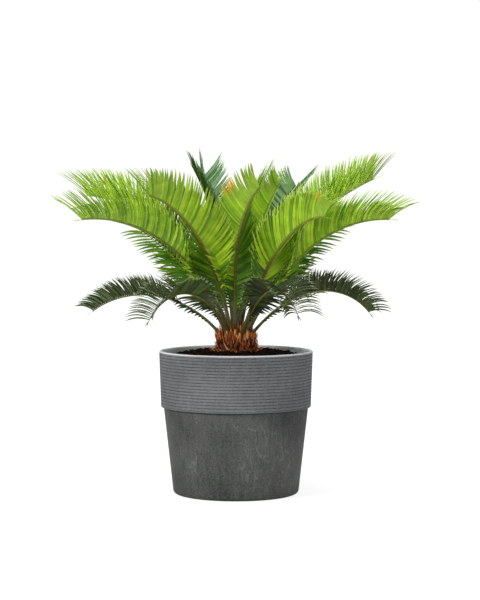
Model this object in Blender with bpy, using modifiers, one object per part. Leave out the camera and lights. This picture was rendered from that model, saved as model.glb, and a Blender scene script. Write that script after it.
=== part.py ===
"""A sago palm in a round planter.

Units are metres and +Z is up. The origin is the centre of the planter's flat
underside, and the plant is seen from the front along +Y. A heading of 0 degrees
points along +X and 90 degrees points away from the front.

The fronds rise from a dome on top of a short trunk. Each one arches outwards: its
lift above the level changes from its rise at the trunk to its tip, while its heading
turns by its sweep. Two rows of leaflets stand on the rib in a V.
"""

import math
from collections import namedtuple

import bmesh
import bpy
from mathutils import Vector
from mathutils.bvhtree import BVHTree

COLLECTION = "sago_palm"
GAP = 0.0003
SIDES = 48

# Planter
POT_HEIGHT = 0.372
RIM_RADIUS = 0.200
RIM_WALL = 0.010
COLLAR_HEIGHT = 0.146
COLLAR_FOOT_RADIUS = 0.195
COLLAR_FOOT_ROUND = 0.002
BODY_TOP_RADIUS = 0.188
BODY_FOOT_RADIUS = 0.164
FOOT_ROUND = 0.010
FLOOR_THICKNESS = 0.012
FLOOR_RADIUS = 0.154

# Potting soil: how far its top lies below the rim at a few radii
SOIL_SLOPE = ((0.110, 0.0), (0.150, 0.008), (0.183, 0.018))
SOIL_EDGE_DROP = 0.001

# Trunk
TRUNK_SIDES = 24
TRUNK_RADIUS = 0.050
TRUNK_FOOT_FLARE = 0.003
SHOULDER_HEIGHT = 0.022
DOME_RADIUS = 0.052
DOME_HEIGHT = 0.034
DOME_RINGS = 5
SHOULDER_COURSES = 3
SCALE_TIPS = ((0.066, 0.015), (0.060, 0.025), (0.057, 0.034), (0.055, 0.042))
SCALE_THICKNESS = 0.0016
SCALE_WIDTH = 0.003

# Ribs: width and height of their section at shares of the length
RIB_STEPS = 60
RIB_SECTION = (
    (0.00, 0.0090, 0.0080),
    (0.05, 0.0070, 0.0064),
    (0.16, 0.0062, 0.0054),
    (1.00, 0.0026, 0.0024),
)
# Ribs: how slim a young one is, the stalk's bare share, and where a roll is complete
YOUNG_RIB = 0.75
BARE_SHARE = 0.13
ROLL_SHARE = 0.3
# Ribs: a frond that turns down by more than this is cut in two at this share
SPLIT_LIFT = 75.0
SPLIT_SHARE = 0.5

# Leaflets: spacing and share of it that a leaflet's root takes up
LEAFLET_PITCH = 0.029
LEAFLET_SHARE = 0.62
# Leaflets: full length as a share of the frond's length, and how it changes along the rib
LEAFLET_REACH = 0.225
LOW_LEAFLET_REACH = 0.20
YOUNG_LEAFLET_REACH = 0.17
SPINE = 0.16
FULL_LENGTH_FROM = 0.33
TIP_LOSS = 0.15
TIP_LOSS_FROM = 0.6
END_REACH = 0.11
END_TAPER = 0.6
# Leaflets: angle from the rib in degrees, less on a young frond that is still pressed,
# and how far the two rows are raised into a V
ROOT_ANGLE = 60.0
LOW_ROOT_ANGLE = 72.0
MIDDLE_CLOSING = 4.0
TIP_CLOSING = 16.0
TIP_CLOSING_POWER = 5
PRESSED = {"inner_left": 32.0, "right": 12.0, "front_right": 18.0}
LEAST_ANGLE = 8.0
ROOT_KEEL = -30.0
FULL_KEEL = 52.0
KEEL_FROM = 0.08
KEEL_RUN = 0.45
# Leaflets: section at the tip, and the clearance kept from the neighbours
LEAFLET_THIN = 0.0015
LEAFLET_THICK_SHARE = 0.012
LEAFLET_TIP = 0.0030
LEAFLET_MARGIN = 0.0008
SHORTENINGS = (1.0, 0.8, 0.6, 0.42)
LEANS = (0.0, 9.0, -9.0)

DEEP_GREEN = (0.035, 0.060, 0.020)
LIME_GREEN = (0.270, 0.450, 0.035)
MID_GREEN = (0.110, 0.230, 0.030)
PALE_GREEN = (0.240, 0.400, 0.180)

# A frond's angles are in degrees. The bend says how late it arches, the roll lifts its
# left row of leaflets, and the fold closes its V.
Frond = namedtuple("Frond", "name heading rise tip length bend sweep roll fold colour")
Piece = namedtuple("Piece", "name frond stations leafy bm sides end")

LOW_FRONDS = (
    Frond("low_left", 179, 49, -38, 0.375, 1.2, -2, 0, 0, DEEP_GREEN),
    Frond("low_front_left", 235, 56, -45, 0.40, 1.1, 3, 0, -12, DEEP_GREEN),
    Frond("low_front_right", 293, 50, -45, 0.42, 1.4, -3, 0, -25, DEEP_GREEN),
    Frond("low_right", 341, 48, -50, 0.38, 1.6, -10, 0, 0, DEEP_GREEN),
    Frond("low_back_right", 58, 55, -42, 0.42, 1.2, 4, 0, 0, DEEP_GREEN),
    Frond("low_back", 86, 54, -36, 0.42, 1.3, -3, 0, 0, DEEP_GREEN),
    Frond("low_back_left", 118, 55, -42, 0.42, 1.2, -5, 0, 0, DEEP_GREEN),
)
MIDDLE_FRONDS = (
    Frond("left", 209, 68, -6, 0.55, 1.2, 5, -20, 0, LIME_GREEN),
    Frond("right", 333, 60, -3, 0.54, 1.5, -11, 15, 0, LIME_GREEN),
    Frond("front_right", 305, 63, -2, 0.55, 1.3, -14, 0, 18, LIME_GREEN),
    Frond("side_left", 184, 66, 34, 0.35, 1.0, 3, -100, -10, MID_GREEN),
    Frond("side_right", 356, 67, 34, 0.35, 1.0, -3, 100, -10, MID_GREEN),
    Frond("back_right", 38, 59, 8, 0.47, 1.3, 3, 22, 0, MID_GREEN),
    Frond("back", 102, 63, -6, 0.52, 1.4, -4, 0, 0, MID_GREEN),
    Frond("back_left", 143, 59, 8, 0.49, 1.3, -3, -22, 0, MID_GREEN),
)
UPPER_FRONDS = (
    Frond("front", 264, 76, 28, 0.46, 1.3, 34, 10, 0, LIME_GREEN),
    Frond("upper_left", 232, 72, 9, 0.52, 1.3, 6, 0, 6, LIME_GREEN),
    Frond("upper_right", 20, 71, 22, 0.56, 1.0, 5, 0, 0, LIME_GREEN),
    Frond("upper_back_right", 58, 72, 31, 0.49, 1.1, 0, 0, -20, MID_GREEN),
    Frond("upper_back", 125, 70, 60, 0.45, 1.0, -22, 24, 0, PALE_GREEN),
    Frond("upper_back_left", 160, 69, 4, 0.57, 1.3, -4, 0, 0, LIME_GREEN),
)
INNER_FRONDS = (
    Frond("inner_back_left", 148, 78, 28, 0.46, 1.3, -4, 0, 0, MID_GREEN),
    Frond("inner_left", 172, 85, 62, 0.43, 1.5, 0, 0, 0, MID_GREEN),
    Frond("inner_back_right", 55, 80, 46, 0.37, 1.2, 4, 0, 0, LIME_GREEN),
    Frond("inner_back", 92, 84, 44, 0.37, 1.2, 0, 0, 0, LIME_GREEN),
    Frond("inner_right", 325, 83, 54, 0.405, 1.3, -6, 0, 0, LIME_GREEN),
)


def smooth(value):
    """A soft step from 0 to 1."""
    value = min(1.0, max(0.0, value))
    return value * value * (3.0 - 2.0 * value)


def between(pairs, at):
    """The value at a place on a line through (place, value) pairs."""
    for (a, low), (b, high) in zip(pairs, pairs[1:]):
        if at <= b:
            return low + (high - low) * max(0.0, at - a) / (b - a)
    return pairs[-1][1]


def clear_scene():
    for thing in list(bpy.data.objects):
        bpy.data.objects.remove(thing, do_unlink=True)
    for group in list(bpy.data.collections):
        bpy.data.collections.remove(group)
    group = bpy.data.collections.new(COLLECTION)
    bpy.context.scene.collection.children.link(group)
    return group


def finish_material(name, colour, roughness):
    material = bpy.data.materials.new(name)
    material.use_nodes = True
    shader = material.node_tree.nodes["Principled BSDF"]
    shader.inputs["Base Color"].default_value = (*colour, 1.0)
    shader.inputs["Roughness"].default_value = roughness
    shader.inputs["Metallic"].default_value = 0.0
    return material


def add_object(group, name, mesh, material, crease=35.0):
    mesh.materials.append(material)
    mesh.shade_smooth()
    mesh.set_sharp_from_angle(angle=math.radians(crease))
    thing = bpy.data.objects.new(name, mesh)
    group.objects.link(thing)
    return thing


def turned(group, name, profile, material):
    """A solid turned about Z from a profile of (radius, height) points."""
    mesh = bpy.data.meshes.new(name)
    points = [(radius, 0.0, height) for radius, height in profile]
    mesh.from_pydata(points, [(i, i + 1) for i in range(len(points) - 1)], [])
    thing = add_object(group, name, mesh, material)
    screw = thing.modifiers.new("turn", "SCREW")
    screw.axis = "Z"
    screw.angle = math.tau
    screw.steps = SIDES
    screw.render_steps = SIDES
    screw.use_merge_vertices = True
    screw.merge_threshold = 0.0001
    screw.use_smooth_shade = True
    return thing


def arc(centre, radius, start, stop, steps):
    """Points (radius, height) round a centre, from one angle in degrees to another."""
    points = []
    for i in range(steps + 1):
        angle = math.radians(start + (stop - start) * i / steps)
        points.append((centre[0] + radius * math.cos(angle), centre[1] + radius * math.sin(angle)))
    return points


def inner_wall_radius(height):
    """The planter's inside radius, which tapers evenly from under its lip to its floor."""
    share = (height - FLOOR_THICKNESS) / (POT_HEIGHT - 0.5 * RIM_WALL - FLOOR_THICKNESS)
    return FLOOR_RADIUS + (RIM_RADIUS - RIM_WALL - FLOOR_RADIUS) * share


def make_pot(group):
    lip = RIM_WALL / 2
    collar_foot = POT_HEIGHT - COLLAR_HEIGHT
    profile = [(0.0, FLOOR_THICKNESS), (FLOOR_RADIUS, FLOOR_THICKNESS)]
    profile += arc((RIM_RADIUS - lip, POT_HEIGHT - lip), lip, 180.0, 0.0, 6)
    profile += arc(
        (COLLAR_FOOT_RADIUS - COLLAR_FOOT_ROUND, collar_foot + COLLAR_FOOT_ROUND),
        COLLAR_FOOT_ROUND, 0.0, -90.0, 2,
    )
    profile.append((BODY_TOP_RADIUS, collar_foot))
    profile += arc((BODY_FOOT_RADIUS - FOOT_ROUND, FOOT_ROUND), FOOT_ROUND, 0.0, -90.0, 4)
    profile.append((0.0, 0.0))
    material = finish_material("pot_grey", (0.090, 0.095, 0.098), 0.6)
    return turned(group, "pot", profile, material)


def make_soil(group):
    top = [(radius, POT_HEIGHT - drop) for radius, drop in SOIL_SLOPE]
    bottom = FLOOR_THICKNESS + GAP
    edge = POT_HEIGHT - SOIL_SLOPE[-1][1] - SOIL_EDGE_DROP
    wall = [(inner_wall_radius(height) - GAP, height) for height in (edge, bottom)]
    profile = [(0.0, POT_HEIGHT)] + top + wall + [(0.0, bottom)]
    material = finish_material("soil_dark", (0.009, 0.004, 0.003), 0.95)
    return turned(group, "soil", profile, material)


def pull_out(bm, face, place):
    """Extrudes one face and moves each corner of the new face to place(corner)."""
    new = bmesh.ops.extrude_discrete_faces(bm, faces=[face])["faces"][0]
    for corner in new.verts:
        corner.co = place(corner.co)
    return new


def trunk_profile():
    """The trunk's rings from its flat foot to the shoulder and over the dome."""
    foot = POT_HEIGHT + GAP
    rings = []
    for i in range(SHOULDER_COURSES + 1):
        share = i / SHOULDER_COURSES
        rings.append((TRUNK_RADIUS + TRUNK_FOOT_FLARE * (1.0 - share), foot + SHOULDER_HEIGHT * share))
    for i in range(1, DOME_RINGS):
        angle = 0.5 * math.pi * i / DOME_RINGS
        height = POT_HEIGHT + SHOULDER_HEIGHT + DOME_HEIGHT * math.sin(angle)
        rings.append((DOME_RADIUS * math.cos(angle), height))
    return rings


def ring_place(radius, height):
    def place(corner):
        flat = Vector((corner.x, corner.y, 0.0)).normalized() * radius
        return Vector((flat.x, flat.y, height))
    return place


def scale_place(face, tip_radius, tip_height):
    """Where the corners of a trunk scale's pointed end go."""
    centre = face.calc_center_median()
    out = Vector((centre.x, centre.y, 0.0)).normalized()
    along = Vector((-out.y, out.x, 0.0))
    tip = out * tip_radius + Vector((0.0, 0.0, POT_HEIGHT + tip_height))
    height = max(corner.co.z for corner in face.verts) - min(corner.co.z for corner in face.verts)
    width = max(e.calc_length() for e in face.edges if abs(e.verts[0].co.z - e.verts[1].co.z) < 1e-4)

    def place(corner):
        offset = corner - centre
        across = along * (offset.dot(along) * SCALE_WIDTH / width)
        up = (out * -0.5 + Vector((0.0, 0.0, 1.0))) * (offset.z * SCALE_THICKNESS / height)
        return tip + across + up
    return place


def make_trunk(group):
    """A short trunk with a flat foot, a domed top and courses of pointed scales."""
    bm = bmesh.new()
    rings = trunk_profile()
    bmesh.ops.create_circle(bm, cap_ends=True, segments=TRUNK_SIDES, radius=rings[0][0])
    bmesh.ops.translate(bm, verts=bm.verts, vec=(0.0, 0.0, rings[0][1]))
    cap = bm.faces[:][0]
    if cap.normal.z < 0.0:
        cap.normal_flip()
    foot = bmesh.ops.duplicate(bm, geom=[cap])
    bmesh.ops.reverse_faces(bm, faces=[f for f in foot["geom"] if isinstance(f, bmesh.types.BMFace)])
    courses = []
    for radius, height in rings[1:]:
        cap = pull_out(bm, cap, ring_place(radius, height))
        courses.append([edge.link_faces[0] if edge.link_faces[0] is not cap else edge.link_faces[1]
                        for edge in cap.edges])
    bmesh.ops.poke(bm, faces=[cap])
    summit = max(bm.verts, key=lambda v: (v.co.z, -v.co.xy.length))
    summit.co.z = POT_HEIGHT + SHOULDER_HEIGHT + DOME_HEIGHT
    bmesh.ops.remove_doubles(bm, verts=bm.verts, dist=0.00001)
    for number, (tip_radius, tip_height) in enumerate(SCALE_TIPS):
        for face in courses[number][number % 2::2]:
            pull_out(bm, face, scale_place(face, tip_radius, tip_height))
    bmesh.ops.recalc_face_normals(bm, faces=bm.faces)
    mesh = bpy.data.meshes.new("trunk")
    bm.to_mesh(mesh)
    bm.free()
    return add_object(group, "trunk", mesh, finish_material("trunk_brown", (0.140, 0.050, 0.018), 0.85))


def seat(frond):
    """The point on the trunk's dome whose normal is the frond's own first direction."""
    rise = math.radians(frond.rise)
    heading = math.radians(frond.heading)
    span = math.hypot(DOME_RADIUS * math.cos(rise), DOME_HEIGHT * math.sin(rise))
    radius = DOME_RADIUS ** 2 * math.cos(rise) / span
    height = POT_HEIGHT + SHOULDER_HEIGHT + DOME_HEIGHT ** 2 * math.sin(rise) / span
    return Vector((radius * math.cos(heading), radius * math.sin(heading), height))


def rib_axes(frond, share):
    """The rib's forward, left and upper directions at a share of its length."""
    lift = math.radians(frond.rise + (frond.tip - frond.rise) * share ** frond.bend)
    heading = math.radians(frond.heading + frond.sweep * share)
    forward = Vector((math.cos(lift) * math.cos(heading), math.cos(lift) * math.sin(heading), math.sin(lift)))
    level = Vector((-math.sin(heading), math.cos(heading), 0.0))
    upper = forward.cross(level)
    roll = math.radians(frond.roll) * smooth(share / ROLL_SHARE)
    left = level * math.cos(roll) + upper * math.sin(roll)
    return forward, left, forward.cross(left)


def rib_line(frond):
    """The rib's points at equal shares of its length."""
    point = seat(frond) + rib_axes(frond, 0.0)[0] * GAP
    points = [point]
    for i in range(RIB_STEPS):
        forward = rib_axes(frond, (i + 0.5) / RIB_STEPS)[0]
        point = point + forward * (frond.length / RIB_STEPS)
        points.append(point)
    return points


def rib_point(line, share):
    place = min(share, 1.0) * RIB_STEPS
    index = min(int(place), RIB_STEPS - 1)
    return line[index].lerp(line[index + 1], place - index)


def rib_stations(frond):
    """Shares of the length where the rib has a section, and the segments that carry leaflets."""
    count = max(3, round((1.0 - BARE_SHARE) * frond.length / LEAFLET_PITCH))
    pitch = (1.0 - BARE_SHARE) / count
    stations = [0.0, 0.5 * BARE_SHARE, BARE_SHARE]
    leafy = []
    for i in range(count):
        begin = BARE_SHARE + pitch * i
        leafy.append(len(stations) - 1)
        stations.append(begin + pitch * LEAFLET_SHARE)
        if i < count - 1:
            stations.append(begin + pitch)
    return stations, leafy


def section_corners(frond, line, share, widen):
    """Four corners of the rib's section: lower left, lower right, upper right, upper left."""
    forward, left, upper = rib_axes(frond, share)
    centre = rib_point(line, share)
    width = 0.5 * widen * between([(at, w) for at, w, h in RIB_SECTION], share)
    height = 0.5 * widen * between([(at, h) for at, w, h in RIB_SECTION], share)
    return [
        centre + left * width - upper * height,
        centre - left * width - upper * height,
        centre - left * width + upper * height,
        centre + left * width + upper * height,
    ]


def build_rib(frond, line, stations, widen):
    """A closed rib through its stations, with the side faces of each segment."""
    bm = bmesh.new()
    bmesh.ops.create_circle(bm, cap_ends=True, segments=4, radius=0.001)
    face = bm.faces[:][0]
    for corner, place in zip(face.verts, section_corners(frond, line, stations[0], widen)):
        corner.co = place
    base = bmesh.ops.duplicate(bm, geom=[face])
    base = [part for part in base["geom"] if isinstance(part, bmesh.types.BMFace)]
    bmesh.ops.reverse_faces(bm, faces=base)
    sides = []
    for share in stations[1:]:
        face = bmesh.ops.extrude_discrete_faces(bm, faces=[face])["faces"][0]
        for corner, place in zip(face.verts, section_corners(frond, line, share, widen)):
            corner.co = place
        edges = [loop.edge for loop in face.loops]
        walls = [[wall for wall in edge.link_faces if wall is not face][0] for edge in edges]
        sides.append((walls[3], walls[1]))
    return bm, sides, face


def leaflet_fill(share):
    return max(0.0, (share - BARE_SHARE) / (1.0 - BARE_SHARE))


def leaflet_reach(frond):
    """A full leaflet's length as a share of its frond's."""
    if frond in LOW_FRONDS:
        return LOW_LEAFLET_REACH
    return YOUNG_LEAFLET_REACH if frond in INNER_FRONDS else LEAFLET_REACH


def leaflet_length(frond, share):
    """Short spines near the trunk, full length along the middle, shorter at the tip."""
    fill = leaflet_fill(share)
    reach = leaflet_reach(frond) * frond.length
    growth = SPINE + (1.0 - SPINE) * smooth(fill / FULL_LENGTH_FROM)
    return reach * growth * (1.0 - TIP_LOSS * smooth((fill - TIP_LOSS_FROM) / (1.0 - TIP_LOSS_FROM)))


def leaflet_angle(frond, fill):
    """A leaflet's angle from the rib in degrees, which closes towards the tip."""
    angle = LOW_ROOT_ANGLE if frond in LOW_FRONDS else ROOT_ANGLE
    angle -= MIDDLE_CLOSING * smooth(2.0 * fill) + TIP_CLOSING * fill ** TIP_CLOSING_POWER
    return max(LEAST_ANGLE, angle - PRESSED.get(frond.name, 0.0))


def leaflet_direction(frond, share, side, lean=0.0):
    """A leaflet's direction: the two rows start low and are raised into a V."""
    fill = leaflet_fill(share)
    forward, left, upper = rib_axes(frond, share)
    angle = math.radians(leaflet_angle(frond, fill))
    raised = (FULL_KEEL - ROOT_KEEL) * smooth((fill - KEEL_FROM) / KEEL_RUN)
    keel = math.radians(ROOT_KEEL + raised + frond.fold + lean)
    across = left * (side * math.cos(keel)) + upper * math.sin(keel)
    return forward * math.cos(angle) + across * math.sin(angle)


def leaflet_place(frond, share, root, direction, length):
    """Where the corners of a leaflet's pointed end go."""
    forward, _, upper = rib_axes(frond, share)
    across = direction.cross(forward).normalized()
    along = across.cross(direction).normalized()
    half_width = 0.5 * LEAFLET_TIP
    half_height = 0.5 * max(LEAFLET_THIN, LEAFLET_THICK_SHARE * length)
    tip = root + direction * length

    def place(corner):
        offset = corner - root
        run = math.copysign(half_width, offset.dot(forward))
        thick = math.copysign(half_height, offset.dot(upper) * across.dot(upper))
        return tip + along * run + across * thick
    return place


def leaflet_shell(corners, place):
    """A leaflet's own surface with a margin round it, for testing what it meets."""
    ends = [place(corner) for corner in corners]
    grown = []
    for ring in (corners, ends):
        centre = sum(ring, Vector()) / len(ring)
        grown += [corner + (corner - centre).normalized() * LEAFLET_MARGIN for corner in ring]
    faces = [(0, 1, 2, 3), (4, 5, 6, 7), (0, 1, 5, 4), (1, 2, 6, 5), (2, 3, 7, 6), (3, 0, 4, 7)]
    return BVHTree.FromPolygons(grown, faces)


def fitting_leaflet(frond, share, side, corners, obstacles):
    """The longest leaflet that meets no neighbour, or None."""
    root = sum(corners, Vector()) / len(corners)
    for shorten in SHORTENINGS:
        for lean in LEANS:
            direction = leaflet_direction(frond, share, side, lean)
            length = leaflet_length(frond, share) * shorten
            place = leaflet_place(frond, share, root, direction, length)
            shell = leaflet_shell(corners, place)
            if not any(shell.overlap(tree) for tree in obstacles):
                return place
    return None


def rib_pieces(frond):
    """A frond's pieces: the whole rib, or two where it bends round a wide gap."""
    stations, leafy = rib_stations(frond)
    if frond.rise - frond.tip < SPLIT_LIFT:
        return [("", stations, leafy)]
    cut = min(index for index in leafy if stations[index] >= SPLIT_SHARE)
    middle = 0.5 * (stations[cut - 1] + stations[cut])
    inner = stations[:cut] + [middle]
    outer = [middle + GAP / frond.length] + stations[cut:]
    return [
        ("_inner", inner, [index for index in leafy if index < cut]),
        ("_outer", outer, [index - cut + 1 for index in leafy if index >= cut]),
    ]


def add_leaflets(piece, obstacles):
    """Pulls leaflets out of the rib's sides, each as long as its neighbours allow."""
    for index in piece.leafy:
        share = 0.5 * (piece.stations[index] + piece.stations[index + 1])
        for side, face in zip((1.0, -1.0), piece.sides[index]):
            corners = [corner.co.copy() for corner in face.verts]
            place = fitting_leaflet(piece.frond, share, side, corners, obstacles)
            if place is not None:
                pull_out(piece.bm, face, place)


def add_end_leaflet(piece):
    """The last leaflet carries on from the rib's end."""
    root = piece.end.calc_center_median()
    reach = rib_axes(piece.frond, 1.0)[0] * (END_REACH * piece.frond.length)
    pull_out(piece.bm, piece.end, lambda corner: root + reach + (corner - root) * END_TAPER)


def build_pieces(fronds):
    pieces = []
    for frond in fronds:
        line = rib_line(frond)
        widen = YOUNG_RIB if frond in INNER_FRONDS else 1.0
        for suffix, stations, leafy in rib_pieces(frond):
            bm, sides, end = build_rib(frond, line, stations, widen)
            pieces.append(Piece("frond_" + frond.name + suffix, frond, stations, leafy, bm, sides, end))
    return pieces


def make_fronds(group, trunk):
    """Every rib first, then the leaflets, so that no leaflet meets a rib."""
    pieces = build_pieces(LOW_FRONDS + MIDDLE_FRONDS + UPPER_FRONDS + INNER_FRONDS)
    for piece in pieces:
        if not piece.name.endswith("_inner"):
            add_end_leaflet(piece)
    trees = {piece.name: BVHTree.FromBMesh(piece.bm) for piece in pieces}
    trees["trunk"] = BVHTree.FromPolygons(
        [corner.co.copy() for corner in trunk.data.vertices],
        [tuple(face.vertices) for face in trunk.data.polygons],
    )
    for piece in pieces:
        obstacles = [tree for name, tree in trees.items() if name != piece.name]
        add_leaflets(piece, obstacles)
        trees[piece.name] = BVHTree.FromBMesh(piece.bm)
        bmesh.ops.remove_doubles(piece.bm, verts=piece.bm.verts, dist=0.000001)
        bmesh.ops.recalc_face_normals(piece.bm, faces=piece.bm.faces)
        mesh = bpy.data.meshes.new(piece.name)
        piece.bm.to_mesh(mesh)
        piece.bm.free()
        add_object(group, piece.name, mesh, finish_material(piece.name, piece.frond.colour, 0.5))


def main():
    group = clear_scene()
    make_pot(group)
    make_soil(group)
    make_fronds(group, make_trunk(group))


main()
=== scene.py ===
"""A sago palm in a round planter: its surfaces, foliage and light.

Units are metres and +Z is up. The origin is the centre of the planter's flat
underside, and the plant is seen from the front along +Y. A heading of 0 degrees
points along +X and 90 degrees points away from the front.

The fronds follow one rule: a frond's lift above the level changes from its rise at
the trunk to its tip, while its heading turns by its sweep, and two rows of leaflets
stand on the rib in a V.
"""

import math
import random
from collections import namedtuple

import bmesh
import bpy
import numpy as np
from mathutils import Matrix, Vector, noise


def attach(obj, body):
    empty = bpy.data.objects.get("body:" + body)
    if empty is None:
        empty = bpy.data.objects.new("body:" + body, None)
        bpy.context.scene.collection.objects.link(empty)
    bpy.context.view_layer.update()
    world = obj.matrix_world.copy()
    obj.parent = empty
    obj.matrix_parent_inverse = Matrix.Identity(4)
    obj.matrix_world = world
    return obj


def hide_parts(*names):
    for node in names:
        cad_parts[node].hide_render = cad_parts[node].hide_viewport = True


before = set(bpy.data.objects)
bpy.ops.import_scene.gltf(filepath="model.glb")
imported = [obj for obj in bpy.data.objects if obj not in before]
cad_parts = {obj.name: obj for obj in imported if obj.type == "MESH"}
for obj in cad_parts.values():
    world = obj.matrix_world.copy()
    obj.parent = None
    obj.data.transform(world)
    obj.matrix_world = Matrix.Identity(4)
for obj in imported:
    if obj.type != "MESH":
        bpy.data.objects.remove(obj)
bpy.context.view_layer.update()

BODY = "root"

# Planter
POT_HEIGHT = 0.372
RIM_RADIUS = 0.200
RIM_WALL = 0.010
COLLAR_HEIGHT = 0.146
COLLAR_FOOT_RADIUS = 0.195
COLLAR_FOOT_ROUND = 0.002
BODY_TOP_RADIUS = 0.188
BODY_FOOT_RADIUS = 0.164
FOOT_ROUND = 0.010
FLOOR_THICKNESS = 0.012
FLOOR_RADIUS = 0.154
POT_STEPS = 524
LIP_HEIGHT = 0.0075
COLLAR_RIBS = 17
RIB_RELIEF = 0.0010
DASH_RELIEF = 0.0008
SEAM_DEPTH = 0.0012
# One rib of the collar, from the groove above it: share of its height, and of its relief
RIB_COURSE = ((0.0, 1.0), (0.18, 0.25), (0.40, 0.0), (0.72, 0.0), (0.90, 0.3))
COLLAR_GREYS = ((56, 58, 59), (82, 85, 86), (108, 111, 112))
BODY_GREYS = ((36, 39, 38), (84, 86, 83))
# Painted shadow: the dark band on the body just under the collar's overhang
COLLAR_SHADOW_GREY = (30, 31, 31)
SCUFF_GREY = (112, 114, 110)
# Painted light: the upper inside wall is made much paler than the planter's grey, against the crown's
# shade
INSIDE_PAINTED_LIGHT = (216, 220, 224)
# Painted highlight along the top of the rounded lip
LIP_HIGHLIGHT_GREY = (222, 225, 229)

# Potting soil, level round the trunk, that falls towards the wall: radius and drop
SOIL_SLOPE = ((0.110, 0.0), (0.150, 0.008), (0.183, 0.018))
SOIL_STEPS = 96
SOIL_RINGS = 34
SOIL_LUMP = 0.0038
LUMP_FINENESS = 70.0
SOIL_SKIRT = 0.03
WALL_CLEARANCE = 0.002
FLOOR_CLEARANCE = 0.001
CRUMBS = 1500
CRUMB_SIZES = (0.0011, 0.0030)
CRUMB_STRETCHES = ((0.7, 1.6), (0.7, 1.3), (0.5, 0.9))
CRUMB_INSET = 0.004
CRUMB_ROUGHNESS = 0.25
# Name, colour and colour of the specks
SOIL_TINTS = (
    ("soil_dark", (19, 8, 6), (66, 30, 20)),
    ("bark_red", (50, 18, 12), (90, 42, 28)),
    ("bark_brown", (30, 14, 9), (108, 72, 52)),
)

# Trunk
TRUNK_RADIUS = 0.050
TRUNK_SET_IN = 0.004
TRUNK_STEPS = 72
SHOULDER_HEIGHT = 0.022
SHOULDER_RINGS = 4
DOME_RADIUS = 0.052
DOME_HEIGHT = 0.034
DOME_RINGS = 9
BULGE = 0.04
BULGE_FINENESS = 110.0
STEM_TINT = (62, 34, 22)

# Scales on the trunk, and chaff at its foot. Leans and rises are in degrees.
SCALE_TINTS = (
    ("scale_dark", (62, 30, 18)),
    ("scale_brown", (150, 80, 38)),
    ("scale_orange", (212, 112, 44)),
    ("scale_straw", (242, 178, 112)),
    ("scale_red", (150, 58, 32)),
)
SCALES = 340
FLANK_SHARE = 0.55
FLANK_FOOT = 0.001
FLANK_HEIGHT = SHOULDER_HEIGHT + 0.004
FLANK_SET_IN = 0.002
FLANK_LEANS = (68.0, 86.0)
FOOT_SPREAD = 22.0
DOME_RISE_FROM = 5.0
DOME_RISE_RUN = 70.0
DOME_SET_IN = 0.003
DOME_LEANS = (74.0, 90.0)
SCALE_LENGTHS = (0.014, 0.027)
SCALE_GROWTH = 0.005
SCALE_WIDTHS = (0.0085, 0.0140)
SCALE_THICKNESS = 0.0020
SCALE_BOWS = (-0.05, 0.12)
SCALE_TWIST = 0.35
SCALE_STATIONS = (0.15, 0.4, 0.65, 0.85)
CHAFF = 260
CHAFF_REACH = 0.018
CHAFF_LIMIT = 0.024
CHAFF_LENGTHS = (0.006, 0.015)
CHAFF_WIDTHS = (0.0018, 0.0050)
CHAFF_THICKNESS = 0.0008
CHAFF_BOWS = (0.1, 0.35)
CHAFF_STATIONS = (0.25, 0.5, 0.75)

# Ribs, whose section is given as share of the length, width and height
RIB_STEPS = 60
RIB_RINGS = 40
FIRST_RIB_RING = 0.02
RIB_SIDES = 8
RIB_SECTION = (
    (0.00, 0.0150, 0.0110),
    (0.05, 0.0104, 0.0086),
    (0.16, 0.0084, 0.0074),
    (0.50, 0.0052, 0.0046),
    (1.00, 0.0020, 0.0018),
)
YOUNG_RIB = 0.75
# The share of a rib that bears no leaflets, and the share over which it takes on its roll
BARE_SHARE = 0.13
ROLL_SHARE = 0.3

# How far apart the pairs of leaflets grow, as factors of the pitch
LEAFLET_PITCH = 0.0054
SPINE_PITCH = 1.7
SPINES_TO = 0.25
END_FROM = 0.4
END_RUN = 0.4
END_PITCH = 0.9
LAST_PAIR = 0.995
# Fronds whose leaflets stand apart
WISPY = {"side_left": 2.1, "side_right": 2.1}

# Leaflets
LEAFLET_WIDTH = 0.0072
WIDTH_SPREAD = (0.92, 1.08)
SPINE_WIDTH = 0.75
FULL_WIDTH_FROM = 0.3
END_THINNING = 0.15
THINNING_RUN = 0.45
LEAFLET_THICK_SHARE = 0.0105
LEAST_THICKNESS = 0.0007
LEAFLET_STATIONS = (0.05, 0.25, 0.47, 0.67, 0.83, 0.94)
EDGE_FOLD = 0.30
LEAFLET_REACH = 0.225
LOW_LEAFLET_REACH = 0.20
YOUNG_LEAFLET_REACH = 0.17
LENGTH_SPREAD = (0.94, 1.02)
SPINE = 0.16
FULL_LENGTH_FROM = 0.33
TIP_LOSS = 0.15
TIP_LOSS_FROM = 0.6
ROOT_ANGLE = 60.0
LOW_ROOT_ANGLE = 72.0
MIDDLE_CLOSING = 4.0
TIP_CLOSING = 16.0
TIP_CLOSING_POWER = 5
# Fronds whose leaflets lie closer to the rib, in degrees
PRESSED = {"inner_left": 32.0, "right": 12.0, "front_right": 18.0}
LEAST_ANGLE = 8.0
SWING_SPREAD = 1.6
ROOT_KEEL = -30.0
FULL_KEEL = 52.0
KEEL_FROM = 0.08
KEEL_RUN = 0.45
KEEL_SPREAD = 2.2
FORWARD_BOW = 0.05
FORWARD_SPREAD = (0.8, 1.2)
SAG = 0.12
SAG_SPREAD = (0.6, 1.3)
STANDING = 0.75
ROOT_OUT = 0.0010
ROOT_UP = 0.0005
# How far a leaflet turns about its own length, in degrees, as a slat does
SHINGLE = -20.0
SHINGLE_SPREAD = 5.0

# The pair of slim blades at the very tip of a frond
TIP_SWING = 0.18
TIP_LENGTH = 0.05
TIP_SAG = (0.0, 0.0, 0.001)
TIP_WIDTH = 0.003
TIP_THICKNESS = 0.0008

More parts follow.
